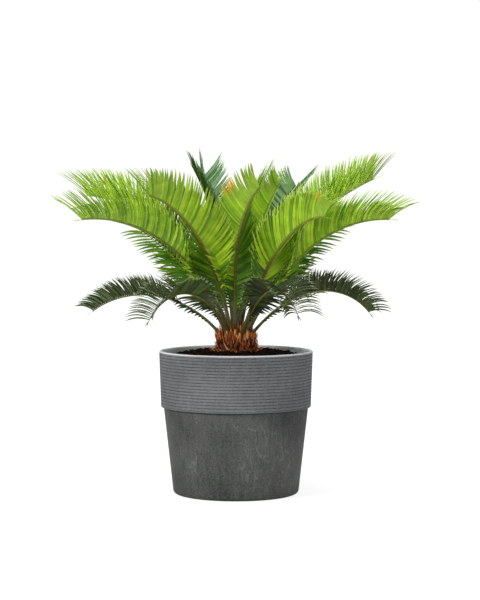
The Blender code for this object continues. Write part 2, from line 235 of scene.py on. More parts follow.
# A frond's angles are in degrees. The bend says how late it arches, the roll lifts its
# left row of leaflets, and the fold closes its V. The tint names its row of leaf colours.
Frond = namedtuple("Frond", "name heading rise tip length bend sweep roll fold tint rib")

LOW_FRONDS = (
    Frond("low_left", 179, 49, -38, 0.375, 1.2, -2, 0, 0, "deep", "olive"),
    Frond("low_front_left", 235, 56, -45, 0.40, 1.1, 3, 0, -12, "deep", "olive"),
    Frond("low_front_right", 293, 50, -45, 0.42, 1.4, -3, 0, -25, "shady", "olive"),
    Frond("low_right", 341, 48, -50, 0.38, 1.6, -10, 0, 0, "shady", "olive"),
    Frond("low_back_right", 58, 55, -42, 0.42, 1.2, 4, 0, 0, "deep", "olive"),
    Frond("low_back", 86, 54, -36, 0.42, 1.3, -3, 0, 0, "deep", "olive"),
    Frond("low_back_left", 118, 55, -42, 0.42, 1.2, -5, 0, 0, "deep", "olive"),
)
MIDDLE_FRONDS = (
    Frond("left", 209, 68, -6, 0.55, 1.2, 5, -20, 0, "lime", "red"),
    Frond("right", 333, 60, -3, 0.54, 1.5, -11, 15, 0, "lime", "green"),
    Frond("front_right", 305, 63, -2, 0.55, 1.3, -14, 0, 18, "lime", "red"),
    Frond("side_left", 184, 66, 34, 0.35, 1.0, 3, -100, -10, "mid", "green"),
    Frond("side_right", 356, 67, 34, 0.35, 1.0, -3, 100, -10, "mid", "green"),
    Frond("back_right", 38, 59, 8, 0.47, 1.3, 3, 22, 0, "mid", "green"),
    Frond("back", 102, 63, -6, 0.52, 1.4, -4, 0, 0, "mid", "green"),
    Frond("back_left", 143, 59, 8, 0.49, 1.3, -3, -22, 0, "mid", "green"),
)
UPPER_FRONDS = (
    Frond("front", 264, 76, 28, 0.46, 1.3, 34, 10, 0, "lime", "red"),
    Frond("upper_left", 232, 72, 9, 0.52, 1.3, 6, 0, 6, "lime", "red"),
    Frond("upper_right", 20, 71, 22, 0.56, 1.0, 5, 0, 0, "lime", "green"),
    Frond("upper_back_right", 58, 72, 31, 0.49, 1.1, 0, 0, -20, "blue", "pale"),
    Frond("upper_back", 125, 70, 60, 0.45, 1.0, -22, 24, 0, "pale", "green"),
    Frond("upper_back_left", 160, 69, 4, 0.57, 1.3, -4, 0, 0, "lime", "green"),
)
INNER_FRONDS = (
    Frond("inner_back_left", 148, 78, 28, 0.46, 1.3, -4, 0, 0, "dark", "green"),
    Frond("inner_left", 172, 85, 62, 0.43, 1.5, 0, 0, 0, "dark", "green"),
    Frond("inner_back_right", 55, 80, 46, 0.37, 1.2, 4, 0, 0, "lime", "green"),
    Frond("inner_back", 92, 84, 44, 0.37, 1.2, 0, 0, 0, "lime", "green"),
    Frond("inner_right", 325, 83, 54, 0.405, 1.3, -6, 0, 0, "lime", "green"),
)
FRONDS = LOW_FRONDS + MIDDLE_FRONDS + UPPER_FRONDS + INNER_FRONDS

# Leaf colours as seen, from 0 to 255, in the order of LEAF_PARTS
LEAF_PARTS = ("root", "inner", "shade", "blade", "light", "far", "tip")
LEAF_TINTS = {
    "lime": (
        (104, 132, 26), (70, 108, 28), (100, 142, 22), (130, 170, 22),
        (158, 193, 36), (138, 170, 50), (160, 188, 66),
    ),
    "mid": (
        (76, 104, 28), (62, 100, 30), (84, 128, 32), (108, 154, 36),
        (130, 172, 50), (130, 166, 66), (148, 178, 84),
    ),
    # The low fronds' deep and shady tints are partly their own darker green and partly painted shade
    # under the crown
    "deep": (
        (30, 34, 14), (38, 44, 18), (42, 54, 22), (52, 66, 27),
        (68, 84, 36), (84, 100, 62), (138, 152, 124),
    ),
    "shady": (
        (24, 28, 12), (30, 36, 14), (34, 42, 16), (42, 52, 20),
        (56, 68, 28), (64, 78, 38), (112, 124, 92),
    ),
    # The dark tint, for fronds inside the crown, is partly their own green and partly painted shade
    "dark": (
        (42, 62, 24), (44, 68, 28), (54, 84, 34), (66, 100, 40),
        (84, 120, 52), (72, 104, 50), (104, 134, 80),
    ),
    "pale": (
        (70, 104, 54), (58, 92, 48), (76, 114, 66), (94, 134, 80),
        (120, 156, 104), (126, 158, 118), (160, 186, 152),
    ),
    "blue": (
        (34, 54, 26), (36, 58, 28), (38, 64, 30), (48, 80, 36),
        (96, 134, 72), (86, 122, 66), (140, 170, 116),
    ),
}
ROOT, INNER, SHADE, BLADE, LIGHT, FAR, TIP, DRY = range(len(LEAF_PARTS) + 1)
# Along a leaflet: where its root ends, and where its tip and a dry end begin
ROOT_TO = 0.04
TIP_FROM = 0.88
DRY_FROM = 0.6
# Along the rib: how many leaflets are inner or far ones, and where that changes
# Inner leaflets are darker: painted shade of the crown's inside, partly the darker green of older
# leaflets
INNER_CHANCE = 0.9
INNER_FROM = 0.02
INNER_RUN = 0.30
FAR_CHANCE = 0.8
FAR_FROM = 0.66
FAR_RUN = 0.3
DRY_TINT = (198, 160, 24)
# Sprays of leaflets with dry ends: the row's side, and where they start and stop on the rib
DRY_SPRAYS = {"front": (-1.0, 0.72, 0.83), "front_right": (-1.0, 0.87, 0.89)}
# Rows that lie in the shade of their own frond: frond and side
SHADED_ROWS = (("front", 1.0), ("upper_left", -1.0))
RIB_TINTS = {
    "olive": ((84, 78, 36), (112, 112, 34)),
    "red": ((88, 82, 38), (116, 96, 34)),
    "green": ((84, 84, 38), (120, 146, 42)),
    "pale": ((70, 84, 46), (170, 194, 160)),
}

# Stage
CAMERA_PLACE = (0.0104, -4.8, 0.735)
CAMERA_DIP = 2.77
CAMERA_LENS = 110.9
CAMERA_SENSOR = 36.0
FLOOR_REACH = 14.0
SKY_STRENGTH = 0.42
BACKDROP_STRENGTH = 1.05
WHITE = (1.0, 1.0, 1.0, 1.0)
FLOOR_WHITES = ((0.86, 0.86, 0.86, 1.0), (0.88, 0.88, 0.88, 1.0))
FLOOR_GLOW = 1.15
FLOOR_GLOW_NEAR = 0.72
# Round lamps: name, place, what they point at, size, power and colour
LAMPS = (
    ("key", (-2.9, -2.6, 2.6), (0.0, 0.0, 0.6), 1.8, 130.0, (1.0, 0.99, 0.97)),
    ("fill", (2.8, -2.8, 1.6), (0.0, 0.0, 0.6), 2.2, 36.0, (0.97, 0.98, 1.0)),
    ("top", (0.0, 0.2, 3.2), (0.0, 0.0, 0.4), 2.6, 80.0, (1.0, 1.0, 1.0)),
)


def smooth(value):
    """A soft step from 0 to 1."""
    value = min(1.0, max(0.0, value))
    return value * value * (3.0 - 2.0 * value)


def between(pairs, at):
    """The value at a place on a line through (place, value) pairs."""
    for (a, low), (b, high) in zip(pairs, pairs[1:]):
        if at <= b:
            return low + (high - low) * max(0.0, at - a) / (b - a)
    return pairs[-1][1]


def linear(colour):
    """A colour of light from one as seen, from 0 to 255."""
    return tuple(((c / 255.0 + 0.055) / 1.055) ** 2.4 for c in colour) + (1.0,)


def shaded(colour, factor):
    """The same colour, lighter or darker."""
    return tuple(min(255.0, c * factor) for c in colour)


class Value:
    """A number that changes over a surface, for use in expressions."""

    def __init__(self, finish, socket):
        self.finish = finish
        self.socket = socket

    def maths(self, operation, first, second=0.0):
        return self.finish.node("ShaderNodeMath", {"operation": operation}, {0: first, 1: second})

    def __add__(self, other):
        return self.maths("ADD", self, other)

    def __sub__(self, other):
        return self.maths("SUBTRACT", self, other)

    def __rsub__(self, other):
        return self.maths("SUBTRACT", other, self)

    def __mul__(self, other):
        return self.maths("MULTIPLY", self, other)

    def __truediv__(self, other):
        return self.maths("DIVIDE", self, other)

    __radd__ = __add__
    __rmul__ = __mul__

    def size(self):
        return self.maths("ABSOLUTE", self)

    def fraction(self):
        return self.maths("FRACT", self)

    def step(self, low, high):
        """A soft step from 0 at low to 1 at high."""
        return self.finish.node(
            "ShaderNodeMapRange", {"interpolation_type": "SMOOTHSTEP"}, {0: self, 1: low, 2: high}
        )


class Finish:
    """A material of one shader, with the nodes that feed it."""

    def __init__(self, name, roughness, specular=0.5):
        self.material = bpy.data.materials.new(name)
        self.material.use_nodes = True
        self.tree = self.material.node_tree
        self.shader = self.tree.nodes["Principled BSDF"]
        self.shader.inputs["Roughness"].default_value = roughness
        self.shader.inputs["Specular IOR Level"].default_value = specular

    def put(self, socket, value):
        if isinstance(value, Value):
            self.tree.links.new(value.socket, socket)
        else:
            socket.default_value = value

    def node(self, kind, settings=None, inputs=None, output=0):
        """A node with its settings, then the values or links of its sockets."""
        node = self.tree.nodes.new(kind)
        for name, value in (settings or {}).items():
            setattr(node, name, value)
        for name, value in (inputs or {}).items():
            self.put(node.inputs[name], value)
        return Value(self, node.outputs[output])

    def set(self, **inputs):
        for name, value in inputs.items():
            self.put(self.shader.inputs[name.replace("_", " ")], value)

    def place(self, stretch=(1.0, 1.0, 1.0)):
        """Object coordinates, stretched."""
        where = self.node("ShaderNodeTexCoord", output=3)
        return self.node("ShaderNodeMapping", {}, {"Vector": where, "Scale": stretch})

    def distance(self, stretch=(1.0, 1.0, 1.0)):
        """The distance from the origin, in stretched coordinates."""
        return self.node("ShaderNodeVectorMath", {"operation": "LENGTH"}, {0: self.place(stretch)}, 1)

    def height(self):
        """The height above the planter's underside."""
        return self.node("ShaderNodeSeparateXYZ", {}, {0: self.place()}, 2)

    def noise(self, scale, detail=3.0, stretch=(1.0, 1.0, 1.0)):
        inputs = {"Vector": self.place(stretch), "Scale": scale, "Detail": detail}
        return self.node("ShaderNodeTexNoise", {}, inputs)

    def mix(self, factor, low, high):
        """A colour between two, by a factor."""
        return self.node("ShaderNodeMix", {"data_type": "RGBA"}, {0: factor, 6: low, 7: high}, 2)

    def bump(self, height, distance, strength=1.0):
        inputs = {"Height": height, "Distance": distance, "Strength": strength}
        self.put(self.shader.inputs["Normal"], self.node("ShaderNodeBump", {}, inputs))


def leaf_finish(name, colour):
    """A leathery blade: satin, with slight changes of green."""
    finish = Finish(name, 0.5, 0.2)
    patches = finish.noise(38.0, 2.0).step(0.3, 0.7)
    finish.set(Base_Color=finish.mix(patches, linear(shaded(colour, 0.93)), linear(shaded(colour, 1.06))))
    finish.set(Roughness=0.42 + 0.16 * finish.noise(90.0, 2.0))
    finish.bump(finish.noise(700.0, 2.0), 0.0002)
    return finish.material


def rib_finish(name, foot, far):
    """A stalk that turns from its dark foot to its own colour along the rib."""
    finish = Finish(name, 0.45, 0.4)
    along = finish.node("ShaderNodeAttribute", {"attribute_name": "along"}, output=2)
    streaks = finish.noise(220.0, 3.0).step(0.3, 0.7)
    young = finish.mix(streaks, linear(shaded(far, 0.88)), linear(shaded(far, 1.08)))
    old = finish.mix(streaks, linear(shaded(foot, 0.75)), linear(shaded(foot, 1.2)))
    finish.set(Base_Color=finish.mix(along.step(0.03, 0.42), old, young))
    finish.bump(finish.noise(500.0, 2.0), 0.0003)
    return finish.material


def scale_finish(name, colour):
    """Dry scale: fibrous, darker at places."""
    finish = Finish(name, 0.78, 0.25)
    fibres = finish.noise(420.0, 4.0, (1.0, 1.0, 0.22))
    patches = finish.noise(70.0, 3.0).step(0.35, 0.65)
    dark = finish.mix(fibres, linear(shaded(colour, 0.55)), linear(shaded(colour, 0.95)))
    light = finish.mix(fibres, linear(shaded(colour, 0.95)), linear(shaded(colour, 1.3)))
    finish.set(Base_Color=finish.mix(patches, dark, light))
    finish.bump(fibres, 0.0008)
    return finish.material


def soil_finish(name, colour, light):
    """Damp crumbly soil with lighter specks."""
    finish = Finish(name, 0.95, 0.06)
    grain = finish.noise(320.0, 4.0)
    specks = finish.noise(900.0, 2.0).step(0.62, 0.72)
    body = finish.mix(grain.step(0.35, 0.7), linear(shaded(colour, 0.6)), linear(shaded(colour, 1.35)))
    finish.set(Base_Color=finish.mix(specks * 0.55, body, linear(light)))
    finish.bump(grain, 0.0015)
    return finish.material


def pot_finish():
    """Matte grey planter: cooler ribbed collar with dark grooves, scuffed body, a painted shadow under
    the collar, painted light on the upper inside wall and a painted highlight on the lip.
    """
    finish = Finish("planter_grey", 0.62, 0.35)
    height = finish.height()
    radius = finish.distance((1.0, 1.0, 0.0))
    clouds = finish.noise(7.0, 4.0)
    grain = finish.noise(260.0, 3.0)
    streaks = finish.noise(120.0, 4.0, (1.0, 1.0, 0.14))
    body = scuffed_grey(finish, clouds, grain, streaks)
    collar = grooved_grey(finish, height, clouds, grain)
    collar_foot = POT_HEIGHT - COLLAR_HEIGHT
    base = finish.mix(height.step(collar_foot - 0.0004, collar_foot + 0.0004), body, collar)
    # Painted shadow under the collar's overhang, blended into the body's grey just below the collar's
    # foot
    below = height.step(collar_foot - 0.004, collar_foot - 0.0005)
    above = height.step(collar_foot, collar_foot + 0.003)
    base = finish.mix(below * (1.0 - above) * 0.6, base, linear(COLLAR_SHADOW_GREY))
    # Painted light on the upper inside wall, where the crown shades it
    inside = 1.0 - radius.step(RIM_RADIUS - 0.7 * RIM_WALL, RIM_RADIUS - 0.4 * RIM_WALL)
    upper = height.step(POT_HEIGHT - 0.050, POT_HEIGHT - 0.045)
    base = finish.mix(inside * upper, base, linear(INSIDE_PAINTED_LIGHT))
    # Painted highlight on the lip's top, where light from above falls
    lip = height.step(POT_HEIGHT - 0.0050, POT_HEIGHT - 0.0015)
    finish.set(Base_Color=finish.mix(lip * 0.85, base, linear(LIP_HIGHLIGHT_GREY)))
    finish.set(Roughness=0.5 + 0.22 * grain)
    finish.bump(streaks * 0.3 + grain * 0.7, 0.0006, 0.8)
    return finish.material


def scuffed_grey(finish, clouds, grain, streaks):
    """The body's grey: soft clouds, fine upright streaks, specks and a few pale scuffs."""
    mottle = (clouds * 0.42 + grain * 0.46 + streaks * 0.2).step(0.35, 0.73)
    body = finish.mix(mottle, linear(BODY_GREYS[0]), linear(BODY_GREYS[1]))
    wisps = finish.noise(24.0, 2.0, (1.6, 1.0, 0.5)) - 0.5
    lines = 1.0 - wisps.size().step(0.004, 0.022)
    return finish.mix(lines * clouds.step(0.5, 0.62) * grain * 0.8, body, linear(SCUFF_GREY))


def grooved_grey(finish, height, clouds, grain):
    """The collar's grey, darker in the grooves between its ribs."""
    top, foot, pitch = rib_courses()
    along = (top - height) / pitch
    groove = (along.fraction() - 0.5).size().step(0.24, 0.48)
    within = height.step(foot - 0.001, foot) * (1.0 - height.step(top, top + 0.0005))
    mottle = (clouds * 0.5 + grain * 0.5).step(0.35, 0.65)
    rib = finish.mix(mottle, linear(COLLAR_GREYS[1]), linear(COLLAR_GREYS[2]))
    patchy = finish.noise(90.0, 3.0, (1.0, 1.0, 0.5)).step(0.3, 0.65)
    return finish.mix(groove * within * (0.35 + 0.65 * patchy), rib, linear(COLLAR_GREYS[0]))


def add_piece(name, mesh, materials, nodes=(), crease=40.0):
    """Puts a mesh in the scene as a piece of the plant."""
    for material in materials:
        mesh.materials.append(material)
    mesh.shade_smooth()
    mesh.set_sharp_from_angle(angle=math.radians(crease))
    piece = bpy.data.objects.new(name, mesh)
    bpy.context.scene.collection.objects.link(piece)
    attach(piece, BODY)
    if nodes:
        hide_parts(*nodes)
    return piece


def mesh_of(bm, name):
    """The finished mesh of a shape."""
    mesh = bpy.data.meshes.new(name)
    bm.to_mesh(mesh)
    bm.free()
    return mesh


def arc(centre, radius, start, stop, steps):
    """Points (radius, height) round a centre, from one angle in degrees to another."""
    points = []
    for i in range(steps + 1):
        angle = math.radians(start + (stop - start) * i / steps)
        points.append((centre[0] + radius * math.cos(angle), centre[1] + radius * math.sin(angle)))
    return points


def turned(profile, steps):
    """A closed solid turned about Z from (radius, height) points whose ends lie on the axis."""
    bm = bmesh.new()
    points = [bm.verts.new((radius, 0.0, height)) for radius, height in profile]
    edges = [bm.edges.new(pair) for pair in zip(points, points[1:])]
    bmesh.ops.spin(
        bm, geom=points + edges, cent=(0.0, 0.0, 0.0), axis=(0.0, 0.0, 1.0),
        angle=math.tau, steps=steps, use_merge=True,
    )
    bmesh.ops.remove_doubles(bm, verts=bm.verts, dist=0.000001)
    bmesh.ops.recalc_face_normals(bm, faces=bm.faces)
    return bm


def collar_radius(height):
    """The collar's outside radius, which tapers from the rim to its foot."""
    share = (POT_HEIGHT - RIM_WALL / 2 - height) / (COLLAR_HEIGHT - RIM_WALL / 2)
    return RIM_RADIUS + (COLLAR_FOOT_RADIUS - RIM_RADIUS) * share


def rib_courses():
    """The top and foot of the ribbed part of the collar, and the height of one rib."""
    top = POT_HEIGHT - LIP_HEIGHT
    foot = POT_HEIGHT - COLLAR_HEIGHT + 2.0 * COLLAR_FOOT_ROUND
    return top, foot, (top - foot) / COLLAR_RIBS


def collar_profile():
    """The collar's ribs, from under the lip to its foot."""
    top, foot, pitch = rib_courses()
    points = []
    for i in range(COLLAR_RIBS):
        for share, depth in RIB_COURSE:
            height = top - pitch * (i + share)
            points.append((collar_radius(height) - RIB_RELIEF * depth, height))
    points.append((collar_radius(foot), foot))
    return points


def make_pot():
    """The planter: floor, inside, rounded lip, ribbed collar, seam and tapered body."""
    lip = RIM_WALL / 2
    collar_foot = POT_HEIGHT - COLLAR_HEIGHT
    profile = [(0.0, FLOOR_THICKNESS), (FLOOR_RADIUS, FLOOR_THICKNESS)]
    profile += arc((RIM_RADIUS - lip, POT_HEIGHT - lip), lip, 180.0, 0.0, 8)
    profile += collar_profile()
    profile += arc(
        (COLLAR_FOOT_RADIUS - COLLAR_FOOT_ROUND, collar_foot + COLLAR_FOOT_ROUND),
        COLLAR_FOOT_ROUND, 0.0, -90.0, 4,
    )
    profile.append((BODY_TOP_RADIUS - SEAM_DEPTH, collar_foot))
    profile.append((BODY_TOP_RADIUS, collar_foot - 2.0 * SEAM_DEPTH))
    profile += arc((BODY_FOOT_RADIUS - FOOT_ROUND, FOOT_ROUND), FOOT_ROUND, 0.0, -90.0, 6)
    profile.append((0.0, 0.0))
    bm = turned(profile, POT_STEPS)
    press_dashes(bm)
    add_piece("planter", mesh_of(bm, "planter"), [pot_finish()], ["pot"], 50.0)


def press_dashes(bm):
    """Presses every second column of the collar's ribs in a little, row by row in turn."""
    top, foot, pitch = rib_courses()
    for corner in bm.verts:
        radius = corner.co.xy.length
        if foot < corner.co.z < top and radius > COLLAR_FOOT_RADIUS - RIM_WALL / 2:
            row = int((top - corner.co.z) / pitch)
            column = round((math.atan2(corner.co.y, corner.co.x) / math.tau + 0.5) * POT_STEPS)
            if (column + row) % 2:
                corner.co.xy *= 1.0 - DASH_RELIEF / radius


def soil_height(x, y):
    """The soil's lumpy surface."""
    radius = math.hypot(x, y)
    drop = between(((0.0, 0.0),) + SOIL_SLOPE, radius)
    lumps = noise.fractal(Vector((x, y, 0.3)) * LUMP_FINENESS, 0.8, 2.1, 4)
    return POT_HEIGHT - drop + SOIL_LUMP * lumps - 0.4 * SOIL_LUMP


def make_soil():
    """The soil's top as a lumpy lid on a plug that fills the planter."""
    edge = SOIL_SLOPE[-1][0]
    rings = [(edge * (i / SOIL_RINGS) ** 0.8, POT_HEIGHT) for i in range(SOIL_RINGS + 1)]
    foot = FLOOR_THICKNESS + FLOOR_CLEARANCE
    skirt = (edge - WALL_CLEARANCE, POT_HEIGHT - SOIL_SKIRT)
    bm = turned(rings + [skirt, (FLOOR_RADIUS - WALL_CLEARANCE, foot), (0.0, foot)], SOIL_STEPS)
    for corner in bm.verts:
        if corner.co.z > POT_HEIGHT - 0.001:
            corner.co.z = soil_height(corner.co.x, corner.co.y)
    materials = [soil_finish(*tint) for tint in SOIL_TINTS]
    add_piece("soil_bed", mesh_of(bm, "soil_bed"), materials[:1], ["soil"], 60.0)
    make_crumbs(materials)


def points_and_faces(bm):
    """A master's corners, and the corners of each of its faces."""
    points = np.array([corner.co[:] for corner in bm.verts])
    faces = [[corner.index for corner in face.verts] for face in bm.faces]
    bm.free()
    return points, faces


def lump_master():
    """A round lump of a few faces."""
    bm = bmesh.new()
    bmesh.ops.create_icosphere(bm, subdivisions=1, radius=1.0)
    return points_and_faces(bm)


def joined(name, clusters, faces, picks):
    """One mesh of many copies of a shape, each with its own points and materials."""
    count = clusters.shape[1]
    every = [[corner + count * i for corner in face] for i in range(len(clusters)) for face in faces]
    mesh = bpy.data.meshes.new(name)
    mesh.from_pydata(clusters.reshape(-1, 3).tolist(), [], every)
    mesh.polygons.foreach_set("material_index", np.asarray(picks, dtype=np.int32).ravel())
    return mesh


def crumb(points, draw):
    """The corners of one rough crumb, turned at random on the soil."""
    reach = SOIL_SLOPE[-1][0] - CRUMB_INSET
    radius = reach * math.sqrt(draw.uniform(0.06, 1.0))
    angle = draw.uniform(0.0, math.tau)
    x, y = radius * math.cos(angle), radius * math.sin(angle)
    size = draw.uniform(*CRUMB_SIZES)
    stretch = np.array([draw.uniform(*spread) for spread in CRUMB_STRETCHES]) * size
    turn = Matrix.Rotation(draw.uniform(0.0, math.tau), 3, "Z")
    tilt = Matrix.Rotation(draw.uniform(-0.6, 0.6), 3, "X")
    waves = np.sin(points[:, [1, 2, 0]] * draw.uniform(3.0, 7.0))
    centre = np.array([x, y, soil_height(x, y) + 0.2 * size])
    return (points * (1.0 + CRUMB_ROUGHNESS * waves) * stretch) @ np.array(turn @ tilt).T + centre


def make_crumbs(materials):
    """Crumbs and bark chips, strewn over the soil."""
    draw = random.Random(5)
    points, faces = lump_master()
    clusters = []
    picks = []
    for _ in range(CRUMBS):
        clusters.append(crumb(points, draw))
        picks.append([draw.choice((0, 0, 0, 1, 2))] * len(faces))
    add_piece("soil_crumbs", joined("soil_crumbs", np.array(clusters), faces, picks), materials)


def close_foot(bm, face):
    """Leaves a copy of a face, turned round, as the foot of what is drawn out of it."""
    copy = bmesh.ops.duplicate(bm, geom=[face])["geom"]
    foot = [part for part in copy if isinstance(part, bmesh.types.BMFace)]
    bmesh.ops.reverse_faces(bm, faces=foot)


def drawn_out(bm, face):
    """The next ring's face, still at the place of the last one."""
    return bmesh.ops.extrude_discrete_faces(bm, faces=[face])["faces"][0]


def blade_master(stations):
    """A slim closed blade along +X, four corners a ring, that ends in a point at x = 1.

    Its corners, its faces and how far along it the middle of each face lies.
    """
    bm = bmesh.new()
    bmesh.ops.create_circle(bm, cap_ends=True, segments=4, radius=1.0)
    for corner in bm.verts:
        corner.co = (0.0, corner.co.x, corner.co.y)
    face = bm.faces[:][0]
    close_foot(bm, face)
    for station in (*stations, 1.0):
        face = drawn_out(bm, face)
        for corner in face.verts:
            corner.co.x = station
    bmesh.ops.pointmerge(bm, verts=face.verts[:], merge_co=(1.0, 0.0, 0.0))
    bmesh.ops.remove_doubles(bm, verts=bm.verts, dist=0.00001)
    bmesh.ops.recalc_face_normals(bm, faces=bm.faces)
    bm.verts.index_update()
    points, faces = points_and_faces(bm)
    middles = [sum(points[i][0] for i in face) / len(face) for face in faces]
    return points, faces, middles


# A blade's root, the line from there to its tip, how it bows from that line, the
# direction that its upper side faces, its width and its thickness
Blade = namedtuple("Blade", "root chord bow upper width thick")


def unit(vectors):
    """The same directions, each of length 1."""
    return vectors / np.linalg.norm(vectors, axis=-1, keepdims=True)


def bent_blades(points, blades, width_at, fold):
    """Copies of a blade, each bent along its own bow, as an array of blade by corner."""
    root, chord, bow, upper = (
        np.array([getattr(blade, part) for blade in blades], dtype=float)[:, None, :]
        for part in ("root", "chord", "bow", "upper")
    )
    width = np.array([blade.width for blade in blades])[:, None, None]
    thick = np.array([blade.thick for blade in blades])[:, None, None]
    run = points[None, :, 0:1]
    across = points[None, :, 1:2]
    height = points[None, :, 2:3]
    share = np.array([width_at(x) for x in points[:, 0]])[None, :, None]
    centre = root + chord * run + bow * (4.0 * run * (1.0 - run))
    forward = unit(chord + bow * (4.0 - 8.0 * run))
    side = unit(np.cross(upper, forward))
    top = np.cross(forward, side)
    half = 0.5 * width * share
    rise = height * 0.5 * thick * np.sqrt(share) - np.abs(across) * half * fold
    return centre + side * (across * half) + top * rise


def leaflet_width(x):
    """A leaflet's width along it: narrow foot, even middle, sharp tip."""
    return (0.55 + 0.45 * smooth(x / 0.15)) * max(0.0, 1.0 - x ** 3.2) ** 0.85


def scale_width(x):
    """A trunk scale's width along it: broad foot, long point."""
    return (1.0 - x) ** 0.8 * (1.0 - 0.25 * smooth(x / 0.5))


def make_trunk():
    """A rough stem with a domed top, under the scales."""
    foot = POT_HEIGHT - TRUNK_SET_IN
    profile = [(0.0, foot), (TRUNK_RADIUS + 0.002, foot)]
    for i in range(SHOULDER_RINGS + 1):
        profile.append((TRUNK_RADIUS, POT_HEIGHT + SHOULDER_HEIGHT * i / SHOULDER_RINGS))
    for i in range(1, DOME_RINGS + 1):
        angle = 0.5 * math.pi * i / DOME_RINGS
        height = POT_HEIGHT + SHOULDER_HEIGHT + DOME_HEIGHT * math.sin(angle)
        profile.append((DOME_RADIUS * math.cos(angle) if i < DOME_RINGS else 0.0, height))
    bm = turned(profile, TRUNK_STEPS)
    for corner in bm.verts:
        if corner.co.z > POT_HEIGHT:
            bulge = noise.fractal(corner.co * BULGE_FINENESS, 0.7, 2.2, 3)
            corner.co += Vector((corner.co.x, corner.co.y, 0.0)) * BULGE * bulge
    brown = scale_finish("stem_brown", STEM_TINT)
    add_piece("stem", mesh_of(bm, "stem"), [brown], ["trunk"], 60.0)


def seat_at(heading, rise):
    """The point on the trunk's dome whose normal has that heading and rise, in radians."""
    span = math.hypot(DOME_RADIUS * math.cos(rise), DOME_HEIGHT * math.sin(rise))
    radius = DOME_RADIUS ** 2 * math.cos(rise) / span
    height = POT_HEIGHT + SHOULDER_HEIGHT + DOME_HEIGHT ** 2 * math.sin(rise) / span
    return Vector((radius * math.cos(heading), radius * math.sin(heading), height))


def scale_stance(share, heading, out, draw):
    """A scale's root and lean: round the trunk's side at first, then up its dome."""
    if share < FLANK_SHARE:
        height = POT_HEIGHT + FLANK_FOOT + FLANK_HEIGHT * share / FLANK_SHARE
        root = out * (TRUNK_RADIUS - FLANK_SET_IN) + Vector((0.0, 0.0, height))
        return root, draw.uniform(*FLANK_LEANS) - FOOT_SPREAD * (1.0 - share / FLANK_SHARE) ** 3
    rise = math.radians(DOME_RISE_FROM + DOME_RISE_RUN * (share - FLANK_SHARE) / (1.0 - FLANK_SHARE))
    return seat_at(heading, rise) - out * DOME_SET_IN, draw.uniform(*DOME_LEANS)


def scale_blade(share, heading, draw):
    """One scale, slightly twisted, with its upper side outwards."""
    out = Vector((math.cos(heading), math.sin(heading), 0.0))
    side = Vector((-out.y, out.x, 0.0))
    up = Vector((0.0, 0.0, 1.0))
    root, lean = scale_stance(share, heading, out, draw)
    lean = math.radians(lean)
    length = draw.uniform(*SCALE_LENGTHS) + SCALE_GROWTH * smooth((share - 0.25) / 0.4)
    twist = draw.uniform(-SCALE_TWIST, SCALE_TWIST)
    direction = (out * math.cos(lean) + up * math.sin(lean) + side * twist * 0.5).normalized()
    upper = (out * math.sin(lean) - up * math.cos(lean) + side * twist).normalized()
    bow = upper * length * draw.uniform(*SCALE_BOWS)
    return Blade(root, direction * length, bow, upper, draw.uniform(*SCALE_WIDTHS), SCALE_THICKNESS)


def make_scales():
    """Pointed scales in a spiral, low and spread at the foot, upright between the stalks."""
    draw = random.Random(11)
    points, faces, _ = blade_master(SCALE_STATIONS)
    golden = math.pi * (3.0 - math.sqrt(5.0))
    blades = []
    picks = []
    for i in range(SCALES):
        heading = golden * i + draw.uniform(-0.12, 0.12)
        blades.append(scale_blade(i / (SCALES - 1), heading, draw))
        picks.append([draw.choice((0, 0, 1, 1, 2, 2, 2, 3, 4))] * len(faces))
    clusters = bent_blades(points, blades, scale_width, 0.25)
    materials = [scale_finish(*tint) for tint in SCALE_TINTS]
    add_piece("stem_scales", joined("stem_scales", clusters, faces, picks), materials, ["trunk"])
    make_chaff(materials)


def pointing(heading, rise):
    """The direction with that heading and rise, in radians."""
    level = math.cos(rise)
    return Vector((level * math.cos(heading), level * math.sin(heading), math.sin(rise)))


def chaff_blade(draw):
    """One curled bit, which is turned back where it would reach too far out."""
    heading = draw.uniform(0.0, math.tau)
    radius = TRUNK_RADIUS + CHAFF_REACH * draw.random() ** 1.4
    x, y = radius * math.cos(heading), radius * math.sin(heading)
    turn = heading + draw.uniform(-1.6, 1.6)
    lift = draw.uniform(-0.1, 0.8)
    length = draw.uniform(*CHAFF_LENGTHS)
    direction = pointing(turn, lift)
    upper = direction.orthogonal().normalized()
    root = Vector((x, y, soil_height(x, y) + draw.uniform(0.0, 0.006)))
    if (root + direction * length).xy.length > TRUNK_RADIUS + CHAFF_LIMIT:
        direction = Vector((-direction.x, -direction.y, direction.z))
    bow = upper * length * draw.uniform(*CHAFF_BOWS)
    return Blade(root, direction * length, bow, upper, draw.uniform(*CHAFF_WIDTHS), CHAFF_THICKNESS)


def make_chaff(materials):
    """Curled fibres and shed scales that lie round the trunk's foot."""
    draw = random.Random(23)
    points, faces, _ = blade_master(CHAFF_STATIONS)
    blades = []
    picks = []
    for _ in range(CHAFF):
        blades.append(chaff_blade(draw))
        picks.append([draw.choice((0, 1, 1, 2, 3))] * len(faces))
    clusters = bent_blades(points, blades, scale_width, 0.2)
    add_piece("chaff", joined("chaff", clusters, faces, picks), materials)


def seat(frond):
    """The point on the trunk's dome whose normal is the frond's own first direction."""
    return seat_at(math.radians(frond.heading), math.radians(frond.rise))


